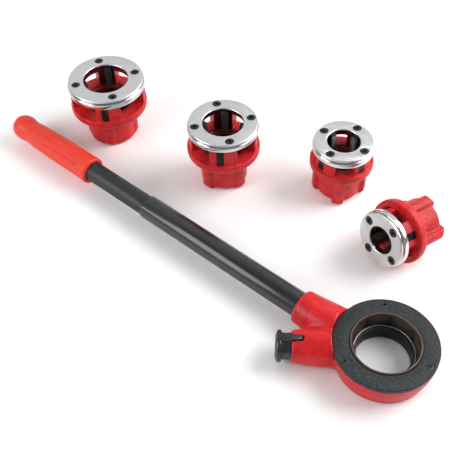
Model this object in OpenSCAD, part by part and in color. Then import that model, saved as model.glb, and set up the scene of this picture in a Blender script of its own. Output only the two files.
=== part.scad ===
// Manual ratchet pipe threading set: a ratchet handle and four loose die heads.
// The origin is where the ring's axis meets the bench. +Z is up and the handle runs along -X.

/* [Ratchet ring] */
// Outside radius of the black cover plate
cover_r = 44.6; // [44:0.1:46]
// Radius of the round opening in the cover plate
cover_bore_r = 30.2; // [30:0.05:30.5]
// Thickness of the cover plate
cover_t = 4; // [3.5:0.1:4.2]
// Height of the cover plate's top face above the bench
ring_h = 28.6; // [28.2:0.1:29]
// Radius of the circle that the cover screws sit on
cover_screw_circle_r = 38.8; // [38.6:0.1:39.4]
// Direction of the first cover screw, in degrees from the X axis
cover_screw_angle = 5; // [0:1:12]

/* [Ratchet gear] */
// Width across the flats of the eight-sided drive socket
socket_af = 51.6; // [51.4:0.05:51.8]
// Radius of the round stop under the drive socket
stop_r = 23.5; // [23:0.1:23.7]
// Height of the stop, where the drive socket ends
stop_z = 14.7; // [13:0.1:16]
// Radius over the tips of the ratchet teeth
tooth_tip_r = 34; // [33.8:0.1:34.4]
// Height of a ratchet tooth
tooth_depth = 2.6; // [2.4:0.1:2.8]
// Number of ratchet teeth
teeth = 24; // [12:12:24]

/* [Pawl branch] */
// Direction of the pawl branch, in degrees from the X axis
pawl_angle = 216.6; // [214:0.1:220]
// Height of the pawl's axis above the bench
pawl_z = 17; // [16.8:0.05:17.1]
// Radius of the round part of the pawl
pawl_r = 5.8; // [5.7:0.05:5.9]
// Distance from the ring's axis to the mouth of the pawl branch
pawl_mouth = 77.5; // [76:0.5:80]
// How far the knob can be pulled out
pawl_travel = 10; // [8:0.5:10]
// Radius of the knob's flange
knob_r = 13.8; // [13.5:0.1:14.5]

/* [Handle] */
// Distance of the handle's axis from the ring's axis, on the pawl side
handle_off = 7.9; // [7:0.1:8.5]
// Height of the handle's axis above the bench
handle_z = 17.3; // [17:0.1:17.6]
// Distance from the ring's axis to the mouth of the handle socket
handle_mouth = 80.5; // [79:0.5:84]
// Outside radius of the handle sleeve
sleeve_r = 11.8; // [11.6:0.1:12.2]
// Distance from the ring's axis to the outer end of the sleeve
sleeve_end = 265; // [250:1:280]
// Outside radius of the handle tube
tube_r = 10.2; // [10:0.1:10.4]
// Distance from the ring's axis to the mouth of the grip
grip_mouth = 341; // [335:1:345]
// Distance from the ring's axis to the closed end of the grip
grip_end = 456.5; // [450:0.5:465]
// Radius of the grip where the hand holds it
grip_r = 13.5; // [12.8:0.1:13.8]

/* [Die heads] */
// Width across the flats of the bosses, which slide into the drive socket
boss_af = 50.6; // [50.4:0.05:50.8]
// Radius to the tips of the four driving lugs
lug_r = 26.9; // [26.8:0.05:26.95]
// Width of a driving lug
lug_w = 11.4; // [10:0.2:13]
// Radius of a face screw's head
screw_head_r = 4.3; // [4:0.1:4.5]
// Radius of a face screw's thread
screw_r = 1.9; // [1.8:0.05:1.95]

/* [Hidden] */
$fn = 96;
eps = 0.01;

// Radial play of the running and sliding pairs
running_play = 0.05;
sliding_play = 0.03;

// Heights inside the ring
cover_z = ring_h - cover_t;
chamber_z = 5;
gear_bottom_z = 0.8;
teeth_bottom_z = chamber_z + 0.3;
teeth_top_z = cover_z - 0.4;
gear_top_z = ring_h + 0.8;
// Radii inside the ring
journal_r = 31;
chamber_r = tooth_tip_r + 1;
tooth_root_r = tooth_tip_r - tooth_depth;
gear_rim_r = cover_bore_r - 0.3;
foot_r = 40.7;
foot_round = 5;
wire_r = 0.55;
wire_circle_r = 25.7;
// Distances along the pawl's axis from the ring's axis
nose_a = tooth_root_r + 0.5;
pawl_body_a = 37.5;
pawl_shoulder_a = 46;
wall_a = 63;
counterbore_a = 66;
knob_skirt_a = 66.4;
slot_a = 68;
knob_flange_a = 84.6;
knob_end_a = 91;
stem_r = 4;
skirt_r = 11.6;
rib_w = 5;
key_pin_a = 81;
// Pawl spring
spring_wire_r = 0.45;
spring_turns = 6;
spring_r = 5.1;
// Handle
sleeve_start = 52;
tube_start = sleeve_end - 32;
tube_end = grip_end - 8;
flutes = 12;

// One row per die head, by the pipe's nominal bore in millimetres
LEN = 0;       // height from the base to the face
FACE_T = 1;    // thickness of the face ring
FACE_R = 2;    // radius of the face ring
OPEN_R = 3;    // radius of the pipe opening in the face ring
POST_R = 4;    // radius over the four posts
FLANGE_R = 5;  // radius of the flange
LEDGE_Z = 6;   // height of the flange's upper edge
GUIDE_R = 7;   // radius of the pipe guide bore
TIP_R = 8;     // radius between the tips of the chasers
POST_HALF = 9; // half of the angle that a post spans
SLOT_OFF = 10; // angle from a post's middle to its chaser
SCREW_C = 11;  // radius of the face screw circle
SCREW_OFF = 12; // angle from a post's middle to its screw
LUG_OFF = 13;  // angle from a post's middle to a lug
PITCH = 14;    // thread pitch of the chasers
CORE_R = 15;   // radius of the boss between its lugs
dn32 = [70.3, 9.3, 39.5, 22.8, 38.6, 39.6, 44.2, 21.5, 19.6, 19.5, -5.3, 31, 11.6, -8, 2.309, 24.7];
dn25 = [71.5, 8.2, 35, 20, 33.9, 36.3, 44.2, 17.2, 15.2, 24, -5, 28.1, 12.6, 45, 2.309, 23.4];
dn20 = [63.6, 8.6, 30, 16, 27.8, 31.2, 41.8, 13.8, 12.1, 26.5, -9, 23.1, 5.5, 37.5, 1.814, 21.4];
dn15 = [58.5, 8.4, 27.3, 13.4, 25.8, 31, 38.3, 11, 9.4, 28, -5, 20.5, 19, -38, 1.814, 21.4];
// Sizes that all four heads share
boss_edge = 3.5;
flange_t = 9.5;
rim_r = 4;
lip_r = 1.5;
chaser_w = 6.8;
plate_t = 2.7;
skirt_t = 3.2;

// ---------- Places ----------

// Puts children made along +Z on the pawl's axis, with z as the distance from the ring's axis.
module on_pawl_axis() {
    translate([0, 0, pawl_z]) rotate([0, 0, pawl_angle]) rotate([0, 90, 0]) children();
}

// Puts children made along +Z on the handle's axis, with z as the distance from the ring's axis.
module on_handle_axis() {
    translate([0, -handle_off, handle_z]) rotate([0, 0, 180]) rotate([0, 90, 0]) children();
}

// Three copies on the cover's screw circle.
module at_cover_screws() {
    for (i = [0:2]) rotate([0, 0, cover_screw_angle + 120 * i]) translate([cover_screw_circle_r, 0, 0]) children();
}

// Four copies a quarter turn apart, the first in the direction given.
module quarters(first = 0) {
    for (i = [0:3]) rotate([0, 0, first + 90 * i]) children();
}

module at_dn32() { translate([-385.2, 61.5, 0]) rotate([0, 0, 47.4]) children(); }

module at_dn25() { translate([-247.2, 85.5, 0]) rotate([0, 0, 40.4]) children(); }

module at_dn20() { translate([-146, 145, 0]) rotate([0, 0, -4.6]) children(); }

// The smallest head lies on its side. It rests on its flange and on one lug.
module at_dn15() {
    along = flange_low(dn15) + rim_r - boss_edge;
    across = dn15[FLANGE_R] - rim_r - lug_r;
    lean = atan2(across, along) + asin(rim_r / sqrt(along * along + across * across));
    translate([-47.3, 140.7, lug_r * cos(lean) - boss_edge * sin(lean) + 0.05])
        rotate([0, 0, 75.6]) rotate([0, lean - 90, 0]) rotate([0, 0, -48]) children();
}

// ---------- Ratchet handle ----------

// Barrel-shaped socket for the handle, with a rounded lip at its mouth and a flare towards the ring.
module handle_branch() {
    lip = 2.5;
    mouth_r = 15.8;
    barrel_r = 16.6;
    flare_y = 5;
    flare_z = 2.2;
    on_handle_axis() rotate_extrude() {
        polygon([[0, 0], [barrel_r, 0], [barrel_r, 62], [barrel_r - 0.1, 68], [mouth_r, handle_mouth - lip],
            [mouth_r - lip, handle_mouth - lip], [mouth_r - lip, handle_mouth], [0, handle_mouth]]);
        translate([mouth_r - lip, handle_mouth - lip]) circle(lip);
    }
    translate([0, flare_y, -flare_z]) on_handle_axis() translate([0, 0, 36]) cylinder(h = 40, r1 = 17.6, r2 = 13);
}

// Round boss that guides the pawl, narrowing a little towards its mouth.
module pawl_branch() {
    lip = 1.5;
    mouth_r = 13.7;
    on_pawl_axis() rotate_extrude() {
        polygon([[0, 0], [16.4, 0], [16.4, 50], [16, 60], [14.8, 70], [mouth_r, pawl_mouth - lip],
            [mouth_r - lip, pawl_mouth - lip], [mouth_r - lip, pawl_mouth], [0, pawl_mouth]]);
        translate([mouth_r - lip, pawl_mouth - lip]) circle(lip);
    }
}

// Outside of the ring: straight under the cover, rounded in to a smaller foot.
module ring_wall() {
    rotate_extrude() {
        polygon([[0, 0], [foot_r - foot_round / 2, 0], [foot_r, foot_round / 2], [cover_r - 0.8, cover_z - 9],
            [cover_r - 0.3, cover_z], [0, cover_z]]);
        translate([foot_r - foot_round / 2, foot_round / 2]) circle(foot_round / 2);
    }
}

// Webs that fill the angles between the branches and the ring: a hollow curve on the free side
// of the pawl branch and a flat saddle between the two branches.
module webs() {
    curve_r = 8;
    branch_r = 14.5;
    curve_y = branch_r + curve_r;
    curve_x = sqrt(pow(foot_r + curve_r, 2) - pow(curve_y, 2));
    web_h = 14.2;
    saddle_h = 19.2;
    translate([0, 0, 7]) linear_extrude(web_h) rotate([0, 0, pawl_angle]) difference() {
        polygon([[28, 10], [curve_x, 10], [curve_x, branch_r], [curve_x, curve_y], [28, curve_y * 28 / curve_x]]);
        translate([curve_x, curve_y]) circle(curve_r);
    }
    translate([0, 0, 4]) linear_extrude(saddle_h) rotate([0, 0, pawl_angle])
        polygon([[30, 0], [64, 0], [63, -12], [62, -22], [30, -28]]);
}

module housing() {
    color("firebrick") difference() {
        union() {
            ring_wall();
            intersection() {
                union() {
                    handle_branch();
                    pawl_branch();
                    webs();
                }
                translate([-100, -100, 0.05]) cube([200, 200, 60]);
            }
        }
        // Seat of the cover plate, clear above it
        translate([0, 0, cover_z]) cylinder(h = 20, r = cover_r + 0.05);
        // Gear chamber and the journal bore below it
        translate([0, 0, chamber_z]) cylinder(h = cover_z, r = chamber_r);
        translate([0, 0, -1]) cylinder(h = cover_z, r = journal_r + running_play);
        // Handle socket
        on_handle_axis() translate([0, 0, sleeve_start - 0.3]) cylinder(h = 60, r = sleeve_r + 0.02);
        // Guide bore of the pawl, stem hole and the counterbore that takes the knob
        on_pawl_axis() {
            translate([0, 0, 20]) cylinder(h = wall_a - 20, r = pawl_r + sliding_play);
            translate([0, 0, 20]) cylinder(h = 60, r = stem_r + 0.1);
            translate([0, 0, counterbore_a]) cylinder(h = 20, r = skirt_r + 0.3);
            // Slots for the knob's rib, one for each driving direction
            for (side = [0, 180]) rotate([0, 0, side]) {
                translate([-20, -rib_w / 2 - 0.3, slot_a + rib_w / 2]) cube([20, rib_w + 0.6, 20]);
                translate([-20, 0, slot_a + rib_w / 2]) rotate([0, 90, 0]) cylinder(h = 20, r = rib_w / 2 + 0.3);
            }
        }
        at_cover_screws() translate([0, 0, cover_z - 10]) cylinder(h = 12, r = 1.7);
    }
}

module cover_plate() {
    edge = 0.8;
    color("dimgray") difference() {
        translate([0, 0, cover_z]) rotate_extrude()
            polygon([[cover_bore_r, 0], [cover_r, 0], [cover_r, cover_t - edge], [cover_r - edge, cover_t],
                [cover_bore_r + 0.4, cover_t], [cover_bore_r, cover_t - 0.4]]);
        at_cover_screws() {
            translate([0, 0, cover_z - 1]) cylinder(h = 10, r = 1.8);
            translate([0, 0, ring_h - 2.1]) cylinder(h = 2.1 + eps, r1 = 1.8, r2 = 3.6);
        }
    }
}

// Countersunk screw with its head's top at z = 0.
module cover_screw() {
    difference() {
        union() {
            translate([0, 0, -2.2]) cylinder(h = 1.95, r1 = 1.6, r2 = 3.3);
            translate([0, 0, -0.26]) cylinder(h = 0.16, r = 3.3);
            translate([0, 0, -12]) cylinder(h = 11, r = 1.6);
        }
        for (turn = [0, 90]) rotate([0, 0, turn]) translate([-2, -0.4, -1.6]) cube([4, 0.8, 2]);
    }
}

module cover_screws() {
    color("dimgray") at_cover_screws() translate([0, 0, ring_h]) cover_screw();
}

// One ratchet tooth as a flat outline, pointing along +X.
module tooth_outline() {
    root_half = 1.95;
    tip_half = 1.15;
    polygon([[tooth_root_r - 1, -root_half], [tooth_root_r, -root_half], [tooth_tip_r, -tip_half],
        [tooth_tip_r, tip_half], [tooth_root_r, root_half], [tooth_root_r - 1, root_half]]);
}

module ratchet_gear() {
    pitch = 360 / teeth;
    mouth_depth = 7.2;
    color("saddlebrown") difference() {
        union() {
            translate([0, 0, gear_bottom_z]) cylinder(h = teeth_bottom_z, r = journal_r);
            translate([0, 0, teeth_bottom_z]) linear_extrude(teeth_top_z - teeth_bottom_z) {
                circle(tooth_root_r);
                for (i = [0:teeth - 1]) rotate([0, 0, pawl_angle + pitch * (i + 0.5)]) tooth_outline();
            }
            translate([0, 0, teeth_top_z - 1]) cylinder(h = gear_top_z - teeth_top_z + 1, r = gear_rim_r);
        }
        // Eight-sided drive socket, its rounded-off mouth and the round stop below it
        translate([0, 0, stop_z]) rotate([0, 0, 22.5]) cylinder(h = 20, d = socket_af / cos(22.5), $fn = 8);
        translate([0, 0, gear_top_z - mouth_depth]) cylinder(h = mouth_depth + eps, r1 = 25.6, r2 = gear_rim_r - 1.3);
        translate([0, 0, -1]) cylinder(h = 20, r = stop_r);
        translate([0, 0, gear_bottom_z - eps]) cylinder(h = 0.5, r1 = stop_r + 0.5, r2 = stop_r);
        // Groove of the retaining wire
        translate([0, 0, stop_z + 1]) rotate_extrude() translate([wire_circle_r, 0]) circle(wire_r + 0.1);
    }
}

// Open spring ring that snaps over a die head's boss.
module retaining_wire() {
    color("silver") translate([0, 0, stop_z + 1]) rotate([0, 0, -30])
        rotate_extrude(angle = 320) translate([wire_circle_r, 0]) circle(wire_r);
}

// Round pawl with a one-sided nose: flat behind the tooth it drives, sloped where it rides over.
module pawl() {
    nose_h = 11;
    color("slategray") on_pawl_axis() difference() {
        union() {
            translate([0, 0, pawl_body_a]) cylinder(h = pawl_shoulder_a - pawl_body_a, r = pawl_r);
            translate([0, 0, pawl_shoulder_a - eps]) cylinder(h = knob_end_a - 6 - pawl_shoulder_a, r = stem_r);
            intersection() {
                translate([0, 0, nose_a]) cylinder(h = pawl_body_a - nose_a + eps, r = pawl_r);
                rotate([0, -90, 0]) translate([0, 0, -nose_h / 2]) linear_extrude(nose_h)
                    polygon([[nose_a, -1.2], [nose_a, 1.2], [pawl_body_a + eps, 1.6],
                        [pawl_body_a + eps, -6.2], [36.6, -5.4], [33.9, -1.9]]);
            }
        }
        translate([0, 30, key_pin_a]) rotate([90, 0, 0]) cylinder(h = 60, r = 1.25);
    }
}

// Coil spring around the stem, between the pawl's shoulder and the wall of the boss.
module pawl_spring() {
    start = pawl_shoulder_a + spring_wire_r + 0.1;
    rise = wall_a - 0.1 - spring_wire_r - start;
    steps = 16;
    on_pawl_axis() color("silver") for (i = [0:spring_turns * steps - 1]) hull() for (k = [0, 1]) {
        translate([0, 0, start + rise * (i + k) / (spring_turns * steps)]) rotate([0, 0, 360 * (i + k) / steps])
            translate([spring_r, 0, 0]) sphere(spring_wire_r, $fn = 8);
    }
}

// Mushroom knob with a hollow skirt and one key rib.
module pull_knob() {
    edge = 2.4;
    color([0.08, 0.08, 0.08]) on_pawl_axis() difference() {
        union() {
            rotate_extrude() {
                polygon([[0, knob_skirt_a], [skirt_r, knob_skirt_a], [skirt_r, 79], [skirt_r - 0.4, 81.5],
                    [knob_r - edge, knob_flange_a], [knob_r - edge, knob_end_a - 0.6], [8, knob_end_a],
                    [0, knob_end_a]]);
                translate([knob_r - edge, knob_flange_a + edge + 0.6]) circle(edge);
            }
            intersection() {
                translate([-15.1, -rib_w / 2, slot_a + 0.6]) cube([15.1, rib_w, knob_flange_a + 2 - slot_a]);
                translate([-15.1, 0, 0]) union() {
                    translate([0, 0, slot_a + 0.6 + rib_w / 2]) rotate([0, 90, 0]) cylinder(h = 16, r = rib_w / 2);
                    translate([0, -rib_w / 2, slot_a + 0.6 + rib_w / 2]) cube([16, rib_w, 30]);
                }
            }
        }
        translate([0, 0, 60]) cylinder(h = knob_end_a - 5.9 - 60, r = stem_r + 0.01);
        translate([0, 30, key_pin_a]) rotate([90, 0, 0]) cylinder(h = 60, r = 1.25);
    }
}

// Pin that keys the knob to the stem.
module knob_pin() {
    color("silver") on_pawl_axis() translate([0, skirt_r - 1, key_pin_a]) rotate([90, 0, 0])
        cylinder(h = 2 * skirt_r - 2, r = 1.2);
}

module handle_sleeve() {
    round_r = 1;
    color([0.06, 0.06, 0.07]) on_handle_axis() difference() {
        rotate_extrude() {
            polygon([[0, sleeve_start], [sleeve_r - 0.6, sleeve_start], [sleeve_r, sleeve_start + 0.6],
                [sleeve_r, sleeve_end - round_r], [sleeve_r - round_r, sleeve_end - round_r],
                [sleeve_r - round_r, sleeve_end], [0, sleeve_end]]);
            translate([sleeve_r - round_r, sleeve_end - round_r]) circle(round_r);
        }
        translate([0, 0, sleeve_start - 1]) cylinder(h = 300, r = tube_r + 0.02);
    }
}

module handle_tube() {
    color([0.1, 0.1, 0.11]) on_handle_axis() difference() {
        translate([0, 0, tube_start]) cylinder(h = tube_end - tube_start, r = tube_r);
        translate([0, 0, tube_start - 1]) cylinder(h = 300, r = tube_r - 2.6);
    }
}

// Closed moulded grip with a flared collar and shallow lengthwise flutes.
module grip() {
    end_r = 13.1;
    collar_r = 2.4;
    flute_r = 3.2;
    flute_depth = 0.9;
    color("tomato") on_handle_axis() difference() {
        rotate_extrude() {
            polygon([[0, grip_mouth], [11.6, grip_mouth], [14, grip_mouth + collar_r], [13.9, grip_mouth + 4],
                [grip_r, grip_mouth + 10], [grip_r, grip_mouth + 55], [12.8, grip_mouth + 80],
                [11.9, grip_end - 25], [12.1, grip_end - 20], [end_r - 0.2, grip_end - 15],
                [end_r, grip_end - 11], [12.3, grip_end - 6.5], [10.4, grip_end - 3], [6.5, grip_end - 0.8],
                [0, grip_end]]);
            translate([14 - collar_r, grip_mouth + collar_r]) circle(collar_r);
        }
        translate([0, 0, grip_mouth - 1]) cylinder(h = tube_end - grip_mouth + 1.3, r = tube_r + 0.03);
        for (i = [0:flutes - 1]) rotate([0, 0, 360 * (i + 0.5) / flutes])
            translate([grip_r + flute_r - flute_depth, 0, grip_mouth + 14])
                cylinder(h = grip_end - grip_mouth - 36, r = flute_r);
    }
}

// ---------- Die heads ----------

function flange_low(h) = h[LEDGE_Z] - flange_t;
function band_z(h) = h[LEN] - h[FACE_T];
function drum_top_z(h) = h[LEN] - plate_t;
function slot_z(h) = h[LEDGE_Z] + 0.3;

// Eight-sided prism that the drive socket fits, with its bottom edge turned round.
module boss_prism(h) {
    bottom_r = 23.4;
    intersection() {
        rotate([0, 0, 22.5 + h[LUG_OFF]])
            cylinder(h = flange_low(h) + 2, d = boss_af / cos(22.5), $fn = 8);
        union() {
            cylinder(h = boss_edge + eps, r1 = bottom_r, r2 = lug_r);
            translate([0, 0, boss_edge]) cylinder(h = flange_low(h), r = lug_r);
        }
    }
}

// Boss of a head: a round core and four lugs that are parts of the prism.
module lugged_boss(h) {
    core_r = h[CORE_R];
    core_edge = min(boss_edge, core_r - h[GUIDE_R] - 1.6);
    cylinder(h = core_edge + eps, r1 = core_r - core_edge, r2 = core_r);
    translate([0, 0, core_edge]) cylinder(h = flange_low(h) - core_edge + 2, r = core_r);
    intersection() {
        rotate([0, 0, 22.5]) boss_prism(h);
        union() {
            for (turn = [0, 90]) rotate([0, 0, h[LUG_OFF] + turn])
                translate([-30, -lug_w / 2, 0]) cube([60, lug_w, flange_low(h) + 2]);
        }
    }
}

// Flange with rounded edges, the drum that the posts are cut from and the neck inside the face ring.
module flange_and_drum(h) {
    boss_top_r = 23;
    low = flange_low(h);
    rotate_extrude() {
        translate([h[FLANGE_R] - rim_r, low + rim_r]) circle(rim_r);
        translate([h[FLANGE_R] - lip_r, h[LEDGE_Z] - lip_r]) circle(lip_r);
        polygon([[0, low - 3], [boss_top_r - 1, low - 3], [boss_top_r + 1, low - 1.8],
            [boss_top_r + 4, low], [h[FLANGE_R] - rim_r, low], [h[FLANGE_R] - rim_r, low + rim_r],
            [h[FLANGE_R], low + rim_r], [h[FLANGE_R], h[LEDGE_Z] - lip_r], [h[FLANGE_R] - lip_r, h[LEDGE_Z]],
            [h[POST_R], h[LEDGE_Z]], [h[POST_R], band_z(h) - 0.05],
            [h[FACE_R] - skirt_t - 0.05, band_z(h) - 0.05], [h[FACE_R] - skirt_t - 0.05, drum_top_z(h) - 0.05],
            [0, drum_top_z(h) - 0.05]]);
    }
}

// Gap between two posts, as a wedge that stops under the neck.
module window(h) {
    reach = 60;
    half = 45 - h[POST_HALF];
    floor_z = h[LEDGE_Z] - eps;
    translate([0, 0, floor_z]) linear_extrude(band_z(h) - 0.05 - floor_z)
        polygon([[0, 0], [reach * cos(half), -reach * sin(half)], [reach * cos(half), reach * sin(half)]]);
}

module head_body(h) {
    chamber = h[OPEN_R] + 1.8;
    floor_z = slot_z(h) - 0.5;
    color("firebrick") difference() {
        union() {
            lugged_boss(h);
            flange_and_drum(h);
        }
        // Pipe guide bore, the cone above it and the chaser chamber
        translate([0, 0, -1]) cylinder(h = floor_z, r = h[GUIDE_R]);
        translate([0, 0, -eps]) cylinder(h = 1.5, r1 = h[GUIDE_R] + 1.2, r2 = h[GUIDE_R] - 0.3);
        translate([0, 0, floor_z - 4]) cylinder(h = 4 + eps, r1 = h[GUIDE_R] - eps, r2 = chamber);
        translate([0, 0, floor_z]) cylinder(h = 60, r = chamber);
        quarters(45) difference() {
            window(h);
            cylinder(h = 200, r = chamber - 1);
        }
        // Chaser slots and screw holes
        quarters(h[SLOT_OFF])
            translate([0, -chaser_w / 2 - 0.05, slot_z(h)]) cube([60, chaser_w + 0.1, 60]);
        quarters(h[SCREW_OFF]) translate([h[SCREW_C], 0, drum_top_z(h) - 14]) cylinder(h = 20, r = screw_r + 0.05);
    }
}

// Bright cap that holds the chasers in: a flat land, a step and a wider rounded band with a skirt.
module face_ring(h) {
    land_t = 3.2;
    land_r = h[FACE_R] - 1;
    band_edge = 1.6;
    under_z = h[FACE_T] - plate_t;
    color("gainsboro") translate([0, 0, band_z(h)]) difference() {
        rotate_extrude() {
            polygon([[h[OPEN_R], under_z], [h[FACE_R] - skirt_t, under_z], [h[FACE_R] - skirt_t, 0],
                [h[FACE_R] - 0.5, 0], [h[FACE_R], 0.5],
                [h[FACE_R], h[FACE_T] - land_t - band_edge], [h[FACE_R] - band_edge, h[FACE_T] - land_t - band_edge],
                [h[FACE_R] - band_edge, h[FACE_T] - land_t], [land_r - 0.8, h[FACE_T] - land_t + 0.4],
                [land_r, h[FACE_T] - land_t + 1.4], [land_r, h[FACE_T] - 0.6], [land_r - 0.6, h[FACE_T]],
                [h[OPEN_R] + 0.7, h[FACE_T]], [h[OPEN_R], h[FACE_T] - 0.7]]);
            translate([h[FACE_R] - band_edge, h[FACE_T] - land_t - band_edge]) circle(band_edge);
        }
        quarters(h[SCREW_OFF]) translate([h[SCREW_C], 0, 0]) {
            translate([0, 0, -1]) cylinder(h = 20, r = screw_r + 0.15);
            translate([0, 0, h[FACE_T] - 2.5])
                cylinder(h = 2.2, r1 = screw_r + 0.15, r2 = screw_head_r + 0.1);
            translate([0, 0, h[FACE_T] - 0.31]) cylinder(h = 1, r = screw_head_r + 0.1);
        }
    }
}

// Outline of one chaser in the radius and height plane, with cutting teeth along its inner edge.
module chaser_outline(h) {
    top = drum_top_z(h) - slot_z(h) - 0.1;
    shoulder = band_z(h) - slot_z(h) - 0.1;
    depth = 0.6 * h[PITCH];
    count = floor((top - 0.9) / h[PITCH]);
    // The last teeth before the face are cut back as a lead-in
    function relief(i) = max(0, (i - count + 3) * 0.55);
    inner = [for (i = [count - 1:-1:0]) for (part = [1, 0.5])
        [h[TIP_R] + (part == 0.5 ? 0 : depth) + relief(i), h[PITCH] * (i + part) + 0.4]];
    polygon(concat([[h[TIP_R] + depth + 1.6, top]], inner,
        [[h[TIP_R] + depth, 0.05], [h[POST_R] - 0.6, 0.05], [h[POST_R] - 0.6, shoulder],
            [h[FACE_R] - skirt_t - 0.3, shoulder], [h[FACE_R] - skirt_t - 0.3, top]]));
}

module chasers(h) {
    color([0.12, 0.13, 0.13]) translate([0, 0, slot_z(h)]) quarters(h[SLOT_OFF])
        translate([0, chaser_w / 2, 0]) rotate([90, 0, 0]) linear_extrude(chaser_w) chaser_outline(h);
}

// Countersunk socket-head screw with its top at z = 0.
module face_screw() {
    difference() {
        union() {
            translate([0, 0, -2.4]) cylinder(h = 2.1, r1 = screw_r, r2 = screw_head_r);
            translate([0, 0, -0.31]) cylinder(h = 0.26, r = screw_head_r);
            translate([0, 0, -16]) cylinder(h = 14, r = screw_r);
        }
        translate([0, 0, -2]) cylinder(h = 3, r = 1.7, $fn = 6);
    }
}

module face_screws(h) {
    color([0.1, 0.1, 0.1]) quarters(h[SCREW_OFF]) translate([h[SCREW_C], 0, h[LEN]]) face_screw();
}

housing();
cover_plate();
cover_screws();
ratchet_gear();
retaining_wire();
pawl();
pawl_spring();
pull_knob();
knob_pin();
handle_sleeve();
handle_tube();
grip();
at_dn32() head_body(dn32);  // dn32_body
at_dn32() face_ring(dn32);  // dn32_face_ring
at_dn32() chasers(dn32);  // dn32_chasers
at_dn32() face_screws(dn32);  // dn32_screws
at_dn25() head_body(dn25);  // dn25_body
at_dn25() face_ring(dn25);  // dn25_face_ring
at_dn25() chasers(dn25);  // dn25_chasers
at_dn25() face_screws(dn25);  // dn25_screws
at_dn20() head_body(dn20);  // dn20_body
at_dn20() face_ring(dn20);  // dn20_face_ring
at_dn20() chasers(dn20);  // dn20_chasers
at_dn20() face_screws(dn20);  // dn20_screws
at_dn15() head_body(dn15);  // dn15_body
at_dn15() face_ring(dn15);  // dn15_face_ring
at_dn15() chasers(dn15);  // dn15_chasers
at_dn15() face_screws(dn15);  // dn15_screws
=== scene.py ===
import math
import bmesh
import bpy
from mathutils import Matrix, Vector


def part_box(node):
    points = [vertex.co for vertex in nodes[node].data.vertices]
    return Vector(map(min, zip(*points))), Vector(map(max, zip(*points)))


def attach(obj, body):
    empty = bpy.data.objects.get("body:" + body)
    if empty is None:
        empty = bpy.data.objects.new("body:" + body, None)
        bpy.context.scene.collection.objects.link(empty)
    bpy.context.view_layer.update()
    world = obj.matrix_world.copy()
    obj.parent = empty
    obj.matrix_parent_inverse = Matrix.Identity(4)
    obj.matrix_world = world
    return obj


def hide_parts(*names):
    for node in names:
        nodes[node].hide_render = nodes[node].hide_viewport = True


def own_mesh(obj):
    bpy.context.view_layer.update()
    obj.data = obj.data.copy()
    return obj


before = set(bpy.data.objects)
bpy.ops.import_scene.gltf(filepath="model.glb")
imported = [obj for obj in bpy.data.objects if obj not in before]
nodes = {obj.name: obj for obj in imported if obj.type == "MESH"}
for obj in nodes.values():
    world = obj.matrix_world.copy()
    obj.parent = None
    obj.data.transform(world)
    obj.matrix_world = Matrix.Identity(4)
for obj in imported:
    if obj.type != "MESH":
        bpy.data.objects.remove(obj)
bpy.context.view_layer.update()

# ---------------------------------------------------------------- Camera
# The set is seen from the side of the pawl knob, half from above, with the handle running away to
# the upper left. The lens is a short telephoto of about 59 mm on a 36 mm frame.
turn = math.radians(40.4)
away = Vector((-math.sin(turn), math.cos(turn), 0))
right = Vector((math.cos(turn), math.sin(turn), 0))
down_tilt = math.radians(49.6)
roll = math.radians(-0.8)
forward = away * math.cos(down_tilt) - Vector((0, 0, math.sin(down_tilt)))
upward = right.cross(forward)
across = right * math.cos(roll) + upward * math.sin(roll)
upright = upward * math.cos(roll) - right * math.sin(roll)
eye = right * -0.1227 + away * -0.34 + Vector((0, 0, 0.567))
camera_data = bpy.data.cameras.new("camera")
camera_data.sensor_width = 36
camera_data.lens = 58.98
camera_data.clip_start = 0.01
camera_data.clip_end = 50
camera = bpy.data.objects.new("camera", camera_data)
bpy.context.scene.collection.objects.link(camera)
camera_turn = Matrix((across, upright, -forward)).transposed().to_4x4()
camera.matrix_world = Matrix.Translation(eye) @ camera_turn
bpy.context.scene.camera = camera

# ---------------------------------------------------------------- Floor and light
# A seamless pale sweep between two softboxes, a strong one on the right and one on the left that
# draws the streak along the handle. The wall at the back is bright and the ceiling is dim.
bpy.context.scene.view_settings.view_transform = "Standard"


class Link:
    """One socket of a node tree. Sums and products of links add Math nodes."""

    def __init__(self, tree, socket):
        self.tree = tree
        self.socket = socket

    def __add__(self, other):
        return self.tree.math("ADD", self, other)

    def __radd__(self, other):
        return self.tree.math("ADD", other, self)

    def __sub__(self, other):
        return self.tree.math("SUBTRACT", self, other)

    def __rsub__(self, other):
        return self.tree.math("SUBTRACT", other, self)

    def __mul__(self, other):
        return self.tree.math("MULTIPLY", self, other)

    def __rmul__(self, other):
        return self.tree.math("MULTIPLY", other, self)


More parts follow.
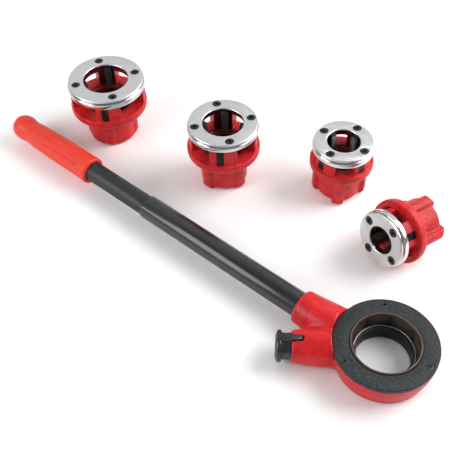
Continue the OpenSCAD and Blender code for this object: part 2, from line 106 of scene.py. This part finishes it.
class Tree:
    """A node tree that nodes are added to one at a time."""

    def __init__(self, node_tree):
        self.node_tree = node_tree

    def node(self, kind, settings=(), sockets=(), out=0):
        """A new node: its settings first, then the values or links of its sockets."""
        made = self.node_tree.nodes.new(kind)
        for key, value in dict(settings).items():
            setattr(made, key, value)
        for key, value in dict(sockets).items():
            if isinstance(value, Link):
                self.node_tree.links.new(value.socket, made.inputs[key])
            else:
                made.inputs[key].default_value = value
        return Link(self, made.outputs[out])

    def math(self, operation, first, second):
        return self.node("ShaderNodeMath", {"operation": operation}, {0: first, 1: second})

    def step(self, value, start, end):
        """0 below start, 1 above end, and smooth between them."""
        return self.node("ShaderNodeMapRange", {"interpolation_type": "SMOOTHSTEP"},
                         {"Value": value, "From Min": start, "From Max": end})

    def blend(self, factor, first, second):
        """A mix of two colours."""
        first, second = ((*c, 1) if isinstance(c, tuple) else c for c in (first, second))
        return self.node("ShaderNodeMix", {"data_type": "RGBA"},
                         {0: factor, 6: first, 7: second}, out=2)

    def noise(self, place, size, detail=3):
        """Noise whose blotches are about size metres across."""
        return self.node("ShaderNodeTexNoise", {}, {"Vector": place, "Scale": 1 / size,
                                                    "Detail": detail, "Roughness": 0.55})


world = bpy.data.worlds.new("studio")
bpy.context.scene.world = world
world.use_nodes = True
room = Tree(world.node_tree)
look = room.node("ShaderNodeTexCoord")
height = room.node("ShaderNodeSeparateXYZ", {}, {0: look}, out=2)
to_back = room.node("ShaderNodeVectorMath", {"operation": "DOT_PRODUCT"},
                    {0: look, 1: tuple(away)}, out=1)
back_wall = room.step(to_back, 0.15, 0.55) * room.step(height, 0.05, 0.4)
ceiling_glow = 0.42
wall_glow = 0.72
glow = ceiling_glow + back_wall * wall_glow
room_colour = room.node("ShaderNodeCombineXYZ", {}, {0: glow * 0.985, 1: glow * 0.99, 2: glow})
background = world.node_tree.nodes["Background"]
world.node_tree.links.new(room_colour.socket, background.inputs["Color"])
background.inputs["Strength"].default_value = 0.8

floor_half = 6
floor_drop = 0.0002
floor_shape = bmesh.new()
bmesh.ops.create_grid(floor_shape, x_segments=1, y_segments=1, size=floor_half)
floor_mesh = bpy.data.meshes.new("floor")
floor_shape.to_mesh(floor_mesh)
floor_shape.free()
floor = bpy.data.objects.new("floor", floor_mesh)
bpy.context.scene.collection.objects.link(floor)
floor.location.z = -floor_drop
paper = bpy.data.materials.new("pale_paper")
paper.use_nodes = True
paper_shader = paper.node_tree.nodes["Principled BSDF"]
paper_shader.inputs["Base Color"].default_value = (0.96, 0.955, 0.953, 1)
paper_shader.inputs["Roughness"].default_value = 0.8
floor_mesh.materials.append(paper)


def softbox(name, place, size, power):
    """A square soft light that faces the middle of the set."""
    middle = Vector((-0.2, 0.05, 0))
    data = bpy.data.lights.new(name, "AREA")
    data.size = size
    data.energy = power
    lamp = bpy.data.objects.new(name, data)
    bpy.context.scene.collection.objects.link(lamp)
    lamp.location = middle + place
    lamp.rotation_euler = (-place).to_track_quat("-Z", "Y").to_euler()


softbox("key", right * 1.0 + away * 0.15 + Vector((0, 0, 0.8)), size=1.0, power=20)
softbox("fill", right * -1.0 + away * -0.4 + Vector((0, 0, 0.62)), size=0.7, power=9)

# ---------------------------------------------------------------- Ring housing
# One malleable iron casting: the ring, the socket for the handle and the boss for the pawl, run
# together in soft hollow curves. It is dipped in red enamel, which pools smooth over the cast skin.


def merged_copy(node):
    """The CAD node's surface with its loose triangles joined."""
    shape = bmesh.new()
    shape.from_mesh(nodes[node].data)
    bmesh.ops.remove_doubles(shape, verts=shape.verts, dist=1e-6)
    return shape


def set_out(name, shape, body, replaced, material):
    """The finished piece in the scene, riding on its body in place of the CAD node."""
    mesh = bpy.data.meshes.new(name)
    shape.to_mesh(mesh)
    shape.free()
    mesh.shade_smooth()
    piece = bpy.data.objects.new(name, mesh)
    bpy.context.scene.collection.objects.link(piece)
    mesh.materials.append(material)
    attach(piece, body)
    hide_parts(replaced)
    return piece


def poured(node, grain_size, rounds):
    """The node's shape as it comes from a mould: an even skin with its corners eased."""
    shape = merged_copy(node)
    mesh = bpy.data.meshes.new(node + "_pattern")
    shape.to_mesh(mesh)
    shape.free()
    pattern = bpy.data.objects.new(node + "_pattern", mesh)
    bpy.context.scene.collection.objects.link(pattern)
    skin = pattern.modifiers.new("skin", "REMESH")
    skin.mode = "VOXEL"
    coarser = 1
    skin.voxel_size = grain_size * coarser
    eased = pattern.modifiers.new("eased", "SMOOTH")
    eased.iterations = rounds
    depsgraph = bpy.context.evaluated_depsgraph_get()
    shape = bmesh.new()
    shape.from_mesh(pattern.evaluated_get(depsgraph).to_mesh())
    bpy.data.objects.remove(pattern)
    bpy.data.meshes.remove(mesh)
    return shape


def finish(name, **constants):
    """A new material, its shader tree, and the place on the piece that patterns are read from."""
    material = bpy.data.materials.new(name)
    material.use_nodes = True
    shader = material.node_tree.nodes["Principled BSDF"]
    for key, value in constants.items():
        shader.inputs[key.replace("_", " ")].default_value = value
    tree = Tree(material.node_tree)
    place = tree.node("ShaderNodeTexCoord", out=3)
    return material, tree, place, shader


def feed(tree, shader, **links):
    """Joins finished links to the shader. Height is a bump in metres."""
    for key, link in links.items():
        if key == "Height":
            bump = {"Strength": 1.0, "Distance": 1.0, "Height": link}
            link = tree.node("ShaderNodeBump", {}, bump)
            key = "Normal"
        tree.node_tree.links.new(link.socket, shader.inputs[key.replace("_", " ")])


def around_axis(tree, place, spot):
    """Distance from an upright or tipped axis, the height along it, and the place seen from it."""
    local = tree.node("ShaderNodeMapping", {"vector_type": "TEXTURE"},
                      {"Vector": place, "Location": tuple(spot.translation),
                       "Rotation": tuple(spot.to_euler())})
    flat = tree.node("ShaderNodeVectorMath", {"operation": "MULTIPLY"}, {0: local, 1: (1, 1, 0)})
    radius = tree.node("ShaderNodeVectorMath", {"operation": "LENGTH"}, {0: flat}, out=1)
    return radius, tree.node("ShaderNodeSeparateXYZ", {}, {0: local}, out=2), local


def red_enamel(name, spot, bore, shoulder, grit):
    """Dipped red enamel over a cast skin: uneven in depth, glossy, with an orange peel. In the
    bore, and around it above the shoulder, painted shade darkens it to a near-black red."""
    thin_red, deep_red = (0.47, 0.007, 0.010), (0.64, 0.015, 0.018)
    pit_red, shade_red = (0.24, 0.005, 0.008), (0.040, 0.003, 0.004)
    material, tree, place, shader = finish(name, Coat_Weight=0.10, Coat_Roughness=0.12,
                                           Specular_IOR_Level=0.25)
    radius, up, _ = around_axis(tree, place, spot)
    pooling = tree.noise(place, 0.014)
    speckle = tree.noise(place, 0.0016)
    colour = tree.blend(tree.step(pooling, 0.3, 0.7), thin_red, deep_red)
    colour = tree.blend(tree.step(speckle, 0.52, 0.68) * 0.5, colour, pit_red)
    ragged = radius + pooling * 0.002
    # Painted shade: the bore, the throat and the space around them above the shoulder fade to a
    # near-black red, standing in for the dark inside the casting.
    throat_shade = (1 - tree.step(ragged, bore + 0.0027, bore + 0.0042)) * 0.75
    spread_shade = (1 - tree.step(ragged, bore + 0.003, bore + 0.013)) * 0.45
    above = tree.step(up, shoulder - 0.004, shoulder)
    bore_shade = (1 - tree.step(radius, bore - 0.0004, bore + 0.0002)) * 0.75
    unshaded = (1 - throat_shade * above) * (1 - spread_shade * above) * (1 - bore_shade)
    colour = tree.blend(1 - unshaded, colour, shade_red)
    peel = tree.noise(place, 0.0018)
    skin = tree.noise(place, 0.006, detail=4)
    feed(tree, shader, Base_Color=colour, Roughness=0.3 + pooling * 0.16 + speckle * 0.06,
         Height=peel * grit + speckle * (grit * 0.4) + skin * 0.00045)
    return material


housing_shape = poured("housing", grain_size=0.0009, rounds=3)
ring_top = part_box("cover_plate")[0].z
ring_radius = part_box("cover_plate")[1].x
sleeve_low, sleeve_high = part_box("handle_sleeve")
handle_y = (sleeve_low.y + sleeve_high.y) / 2
handle_z = (sleeve_low.z + sleeve_high.z) / 2
pawl_turn = math.radians(216.6)
pawl_way = Vector((math.cos(pawl_turn), math.sin(pawl_turn), 0))
pawl_z = (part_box("pawl")[0].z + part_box("pawl")[1].z) / 2
# The webs between ring, socket and boss are eased. The seats of cover, sleeve and pawl stay true.
sleeve_seat = 0.0135
pawl_seat = 0.0125
webs_end = 0.07
foot = 0.0015
easing_rounds = 24
hollows = []
for vert in housing_shape.verts:
    reach = math.hypot(vert.co.x, vert.co.y)
    from_handle = math.hypot(vert.co.y - handle_y, vert.co.z - handle_z)
    along_pawl = vert.co.dot(pawl_way)
    from_pawl = (vert.co - pawl_way * along_pawl - Vector((0, 0, pawl_z))).length
    below_cover = reach > ring_radius - 0.003 and vert.co.z < ring_top - 0.002
    clear_of_seats = from_handle > sleeve_seat and from_pawl > pawl_seat
    if ((below_cover or reach > ring_radius + 0.0015) and clear_of_seats
            and reach < webs_end and vert.co.z > foot):
        hollows.append(vert)
for _ in range(easing_rounds):
    bmesh.ops.smooth_vert(housing_shape, verts=hollows, factor=0.5,
                          use_axis_x=True, use_axis_y=True, use_axis_z=True)
ring_axis = Matrix.Identity(4)
set_out("ring_casting", housing_shape, "frame", "housing",
        red_enamel("cast_red", ring_axis, bore=0.032, shoulder=0.004, grit=0.00016))

# ---------------------------------------------------------------- Cover plate and its screws
# A turned steel plate, blackened and oiled, that keeps the gear in the ring. Its outer edge is
# rubbed a little brighter. Three small cross-recessed screws hold it down.


def machined(name, node, body, material, edge):
    """The node's shape with every corner broken by a small rounded edge."""
    shape = merged_copy(node)
    bmesh.ops.dissolve_limit(shape, angle_limit=math.radians(0.4), verts=shape.verts,
                             edges=shape.edges)
    piece = set_out(name, shape, body, node, material)
    corners = piece.modifiers.new("corners", "BEVEL")
    corners.width = edge
    corners.segments = 2
    corners.limit_method = "ANGLE"
    corners.angle_limit = math.radians(32)
    corners.use_clamp_overlap = False
    corners.harden_normals = True
    return piece


def blackened_plate():
    """Blackened steel with a dry, pitted grain, faint scratches and a rubbed outer edge."""
    dark, cloudy = (0.017, 0.021, 0.023), (0.027, 0.032, 0.035)
    fleck, rubbed = (0.085, 0.094, 0.098), (0.10, 0.108, 0.112)
    material, tree, place, shader = finish("cover_black", Specular_IOR_Level=0.22)
    radius, _, _ = around_axis(tree, place, ring_axis)
    grain = tree.noise(place, 0.0009, detail=4)
    cloud = tree.noise(place, 0.012)
    outer_edge = tree.step(radius, ring_radius - 0.0011, ring_radius - 0.0002)
    rub = outer_edge * tree.step(tree.noise(place, 0.006), 0.45, 0.65)
    drawn_out = tree.node("ShaderNodeMapping", {}, {"Vector": place, "Rotation": (0, 0, 0.5),
                                                    "Scale": (1, 0.06, 1)})
    scratch = tree.step(tree.noise(drawn_out, 0.0012, detail=1), 0.66, 0.72)
    pits = tree.noise(place, 0.0024)
    colour = tree.blend(cloud, dark, cloudy)
    colour = tree.blend(scratch * 0.1 + tree.step(pits, 0.45, 0.7) * 0.3, colour, fleck)
    colour = tree.blend(rub * 0.2, colour, rubbed)
    feed(tree, shader, Base_Color=colour, Roughness=0.5 + cloud * 0.14 - rub * 0.1,
         Height=grain * 0.00016 + pits * 0.0005)
    return material


def oxide_screw():
    """Black oxide on turned screws, worn grey where a driver has touched it."""
    oxide, worn = (0.035, 0.038, 0.04), (0.16, 0.165, 0.17)
    material, tree, place, shader = finish("screw_grey", Metallic=0.8)
    wear = tree.step(tree.noise(place, 0.0016), 0.5, 0.72)
    feed(tree, shader, Base_Color=tree.blend(wear * 0.6, oxide, worn),
         Roughness=0.36 + tree.noise(place, 0.0008) * 0.2,
         Height=tree.noise(place, 0.0006) * 0.00003)
    return material


machined("ring_cover", "cover_plate", "frame", blackened_plate(), edge=0.0003)
machined("ring_cover_screws", "cover_screws", "frame", oxide_screw(), edge=0.0001)

# ---------------------------------------------------------------- Drive gear and its wire
# A forged ring with an eight-sided socket, teeth outside and a round stop at the bottom. It is
# brown with oil, rubbed bright on the rim and in the cone of the mouth. A sprung wire lies in a
# groove of the socket and holds the boss of a die head.


def oiled_forging():
    """Brown-black oiled steel. The rim and the cone of the socket's mouth are rubbed bright."""
    black, brown = (0.009, 0.009, 0.009), (0.022, 0.018, 0.016)
    mouth_brown, rim_brown, bottom_black = (0.10, 0.052, 0.034), (0.15, 0.10, 0.08), (0.010,) * 3
    mouth_depth, mouth_radius, mouth_taper = 0.0072, 0.0286, 0.003
    material, tree, place, shader = finish("gear_steel", Metallic=0.35, Specular_IOR_Level=0.35)
    radius, up, local = around_axis(tree, place, ring_axis)
    patch = tree.noise(place, 0.007, detail=4)
    turned = tree.node("ShaderNodeTexWave", {"wave_type": "RINGS", "rings_direction": "Z"},
                       {"Vector": local, "Scale": 520.0, "Distortion": 1.2, "Detail": 1.0})
    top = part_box("ratchet_gear")[1].z
    rim = tree.step(up, top - 0.0008, top - 0.0002)
    outside_cone = radius - (mouth_radius + (up - top) * (mouth_taper / mouth_depth))
    in_mouth = tree.step(up, top - mouth_depth - 0.0001, top - mouth_depth + 0.0004)
    mouth = (1 - tree.step(outside_cone, 0.00012, 0.0004)) * in_mouth
    above_stop = tree.step(up, 0.0125, 0.0165)
    colour = tree.blend(patch, black, brown)
    colour = tree.blend(mouth * (0.25 + patch * 0.6), colour, mouth_brown)
    colour = tree.blend(rim * (0.3 + patch * 0.5), colour, rim_brown)
    colour = tree.blend(1 - above_stop, colour, bottom_black)
    feed(tree, shader, Base_Color=colour, Roughness=0.36 + patch * 0.2,
         Height=turned * 0.00002 + patch * 0.00008)
    return material


def bright_wire():
    """Drawn spring wire: bright, with fine drawing marks and darker oil."""
    oiled, bare = (0.20, 0.18, 0.165), (0.42, 0.38, 0.35)
    material, tree, place, shader = finish("spring_steel", Metallic=1.0)
    oil = tree.noise(place, 0.004)
    feed(tree, shader, Base_Color=tree.blend(oil, oiled, bare), Roughness=0.3 + oil * 0.2,
         Height=tree.noise(place, 0.0005) * 0.00002)
    return material


machined("drive_ring", "ratchet_gear", "drive_gear", oiled_forging(), edge=0.00018)
wire_steel = bright_wire()
nodes["retaining_wire"].data.materials.clear()
nodes["retaining_wire"].data.materials.append(wire_steel)

# ---------------------------------------------------------------- Pawl, its spring and its knob
# A round ground pawl on a stem, pushed in by a coil spring. The knob is moulded in hard black
# plastic over the stem, keyed by a rib that runs in a slot of the boss, and cross-pinned.


def ground_steel():
    """Hardened and ground tool steel with fine cross marks."""
    oiled, bare = (0.22, 0.22, 0.225), (0.40, 0.40, 0.41)
    material, tree, place, shader = finish("tool_steel", Metallic=1.0)
    across_pawl = tree.node("ShaderNodeMapping", {},
                            {"Vector": place, "Rotation": (0, 0, -pawl_turn),
                             "Scale": (1, 0.05, 0.05)})
    marks = tree.noise(across_pawl, 0.0004, detail=2)
    oil = tree.noise(place, 0.005)
    feed(tree, shader, Base_Color=tree.blend(oil, oiled, bare), Roughness=0.25 + marks * 0.2,
         Height=marks * 0.00002)
    return material


def moulded_black():
    """Hard black plastic with a polished skin, faint mould haze and a few fine scuffs."""
    black, hazy = (0.010, 0.012, 0.013), (0.020, 0.024, 0.025)
    material, tree, place, shader = finish("knob_black", Coat_Weight=0.2, Coat_Roughness=0.08,
                                           Specular_IOR_Level=0.4)
    haze = tree.noise(place, 0.006)
    scuff = tree.step(tree.noise(place, 0.0011, detail=4), 0.64, 0.75)
    feed(tree, shader, Base_Color=tree.blend(haze, black, hazy),
         Roughness=0.2 + haze * 0.12 + scuff * 0.2, Height=tree.noise(place, 0.003) * 0.00008)
    return material


machined("pawl_bolt", "pawl", "pawl_knob", ground_steel(), edge=0.00015)
machined("pawl_grip", "pull_knob", "pawl_knob", moulded_black(), edge=0.0003)
machined("pawl_cross_pin", "knob_pin", "pawl_knob", wire_steel, edge=0.0001)

spring_wall = 0.063
spring_end = spring_wall - 0.0006
spring_start = 0.0466
spring_radius = 0.0051
spring_wire = 0.00045
coil_turns = 6
coil_steps = coil_turns * 20
coil = bmesh.new()
bmesh.ops.create_circle(coil, segments=10, radius=spring_wire)
pawl_frame = Matrix.Translation((0, 0, pawl_z)) @ Matrix.Rotation(pawl_turn, 4, "Z")
coil_foot = pawl_frame @ Matrix.Translation((spring_start, spring_radius, 0))
bmesh.ops.transform(coil, matrix=coil_foot, verts=coil.verts)
first_edges = list(coil.edges)
wound = bmesh.ops.spin(coil, geom=first_edges, cent=pawl_frame @ Vector((spring_start, 0, 0)),
                       axis=pawl_way, dvec=pawl_way * ((spring_end - spring_start) / coil_steps),
                       angle=2 * math.pi * coil_turns, steps=coil_steps, use_merge=False)
last_edges = [part for part in wound["geom_last"] if isinstance(part, bmesh.types.BMEdge)]
bmesh.ops.contextual_create(coil, geom=first_edges)
bmesh.ops.contextual_create(coil, geom=last_edges)
bmesh.ops.recalc_face_normals(coil, faces=coil.faces)
coil_piece = set_out("pawl_coil", coil, "frame", "pawl_spring", wire_steel)
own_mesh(coil_piece)

# ---------------------------------------------------------------- Handle
# A glossy black sleeve is pressed into the casting, and a thinner satin black tube slides into it.
# The grip is a closed tube of soft orange plastic with shallow flutes, a bulb end and a collar.


def black_lacquer(name, low, high, roughness, coat):
    """Black lacquer on drawn tube: faint lengthwise draw lines, dust and cloudy gloss."""
    dusty = (0.16, 0.16, 0.155)
    material, tree, place, shader = finish(name, Coat_Weight=coat, Coat_Roughness=0.15,
                                           Specular_IOR_Level=0.36)
    lengthwise = tree.node("ShaderNodeMapping", {}, {"Vector": place, "Scale": (0.04, 1, 1)})
    lines = tree.noise(lengthwise, 0.0016)
    cloud = tree.noise(place, 0.03)
    dust = tree.step(tree.noise(place, 0.0012), 0.66, 0.78)
    colour = tree.blend(lines * 0.5 + cloud * 0.5, low, high)
    colour = tree.blend(dust * 0.25, colour, dusty)
    feed(tree, shader, Base_Color=colour, Roughness=roughness + cloud * 0.1 + dust * 0.1,
         Height=lines * 0.00006)
    return material


def soft_orange():
    """Moulded soft plastic: slightly cloudy colour, a fine satin grain and darker smudges."""
    orange, pale_orange, smudged = (0.68, 0.028, 0.009), (0.76, 0.040, 0.014), (0.50, 0.030, 0.014)
    material, tree, place, shader = finish("grip_orange", Coat_Weight=0.05, Coat_Roughness=0.4,
                                           Specular_IOR_Level=0.4)
    cloud = tree.noise(place, 0.02)
    grain = tree.noise(place, 0.0007, detail=2)
    smudge = tree.step(tree.noise(place, 0.009, detail=4), 0.55, 0.75)
    colour = tree.blend(cloud, orange, pale_orange)
    colour = tree.blend(smudge * 0.18, colour, smudged)
    feed(tree, shader, Base_Color=colour, Roughness=0.42 + cloud * 0.1 + smudge * 0.05,
         Height=grain * 0.00006)
    return material


gloss_black = black_lacquer("sleeve_black", low=(0.006, 0.008, 0.009), high=(0.014, 0.018, 0.020),
                            roughness=0.24, coat=0.45)
satin_black = black_lacquer("tube_black", low=(0.010, 0.013, 0.014), high=(0.022, 0.026, 0.028),
                            roughness=0.44, coat=0.06)
machined("handle_outer", "handle_sleeve", "frame", gloss_black, edge=0.0003)
machined("handle_inner", "handle_tube", "frame", satin_black, edge=0.0003)
machined("handle_grip", "grip", "frame", soft_orange(), edge=0.0004)

# ---------------------------------------------------------------- Die heads
# Four loose heads, one for each pipe size. Each is a red iron casting with a flange, four posts and
# a boss that drops into the gear. A bright turned cap holds four black chasers in their slots,
# fixed by four countersunk socket screws.


def plated_cap(name, spot, top):
    """Bright plating over a turned cap: a satin land with faint turning rings, a glossier band, and
    a dark line of painted shade below the land."""
    dull, bright = (0.58, 0.585, 0.59), (0.72, 0.725, 0.73)
    stained, shade_line_grey = (0.50, 0.505, 0.50), (0.10,) * 3
    material, tree, place, shader = finish(name, Metallic=1.0)
    _, up, local = around_axis(tree, place, spot)
    land = tree.step(up, top - 0.0009, top - 0.0003)
    rings = tree.node("ShaderNodeTexWave", {"wave_type": "RINGS", "rings_direction": "Z"},
                      {"Vector": local, "Scale": 700.0, "Distortion": 0.6, "Detail": 1.0})
    mottle = tree.noise(place, 0.0035, detail=4)
    stain = tree.step(tree.noise(place, 0.008), 0.58, 0.74)
    # Painted shade: a dark grey line below the land, where the cap steps out.
    above_shade_line = tree.step(up, top - 0.0026, top - 0.0022)
    shade_line = tree.step(up, top - 0.0033, top - 0.0030) * (1 - above_shade_line)
    colour = tree.blend(mottle, dull, bright)
    colour = tree.blend(stain * 0.3, colour, stained)
    colour = tree.blend(shade_line * 0.85, colour, shade_line_grey)
    feed(tree, shader, Base_Color=colour,
         Roughness=0.13 + land * (0.2 + mottle * 0.12) + stain * 0.05,
         Height=(rings * 0.000012 + mottle * 0.00003) * land)
    return material


def chaser_oxide(name, spot, tip):
    """Black oxide tool steel, ground grey on the cutting edges towards the pipe."""
    black, cloudy, ground_grey = (0.009, 0.010, 0.010), (0.030, 0.032, 0.031), (0.060, 0.064, 0.055)
    material, tree, place, shader = finish(name, Metallic=0.85)
    radius, _, _ = around_axis(tree, place, spot)
    patch = tree.noise(place, 0.004)
    upward_marks = tree.node("ShaderNodeMapping", {}, {"Vector": place, "Scale": (1, 1, 0.08)})
    lines = tree.noise(upward_marks, 0.0006, detail=2)
    ground = (1 - tree.step(radius, tip + 0.0012, tip + 0.003)) * (0.3 + lines * 0.5)
    colour = tree.blend(patch, black, cloudy)
    colour = tree.blend(ground, colour, ground_grey)
    feed(tree, shader, Base_Color=colour, Roughness=0.28 + lines * 0.16, Height=lines * 0.00003)
    return material


def socket_screw_black():
    """Black oxide socket screws with slightly greyer patches."""
    black, grey = (0.014, 0.016, 0.016), (0.045, 0.048, 0.048)
    material, tree, place, shader = finish("screw_black", Metallic=0.7)
    patch = tree.noise(place, 0.0014)
    feed(tree, shader, Base_Color=tree.blend(patch, black, grey),
         Roughness=0.3 + patch * 0.2, Height=patch * 0.00004)
    return material


screw_finish = socket_screw_black()
upright_heads = {"dn32": ((-0.3852, 0.0615, 0), 47.4), "dn25": ((-0.2472, 0.0855, 0), 40.4),
                 "dn20": ((-0.146, 0.145, 0), -4.6)}
spots = {head: Matrix.Translation(place) @ Matrix.Rotation(math.radians(turned), 4, "Z")
         for head, (place, turned) in upright_heads.items()}
# The smallest head lies on its flange and one lug of its boss, tipped a little.
lean = math.radians(8.042)
lug_radius = 0.0269
lug_bevel = 0.0035
lying_height = lug_radius * math.cos(lean) - lug_bevel * math.sin(lean)
spots["dn15"] = (Matrix.Translation((-0.0473, 0.1407, lying_height))
                 @ Matrix.Rotation(math.radians(75.6), 4, "Z")
                 @ Matrix.Rotation(lean - math.pi / 2, 4, "Y"))
for head, spot in spots.items():
    body = head + "_head"
    to_local = spot.inverted()
    cap = [to_local @ vert.co for vert in nodes[head + "_face_ring"].data.vertices]
    dies = [to_local @ vert.co for vert in nodes[head + "_chasers"].data.vertices]
    cap_top = max(point.z for point in cap)
    throat = min(point.xy.length for point in cap)
    die_foot = min(point.z for point in dies)
    die_tip = min(point.xy.length for point in dies)
    casting = poured(head + "_body", grain_size=0.00065, rounds=4)
    set_out(head + "_casting", casting, body, head + "_body",
            red_enamel(head + "_cast_red", spot, throat, die_foot, grit=0.0008))
    machined(head + "_cap", head + "_face_ring", body,
             plated_cap(head + "_bright_ring", spot, cap_top), edge=0.00018)
    machined(head + "_dies", head + "_chasers", body,
             chaser_oxide(head + "_chaser_black", spot, die_tip), edge=0.00012)
    machined(head + "_cap_screws", head + "_screws", body, screw_finish,
             edge=0.00012)
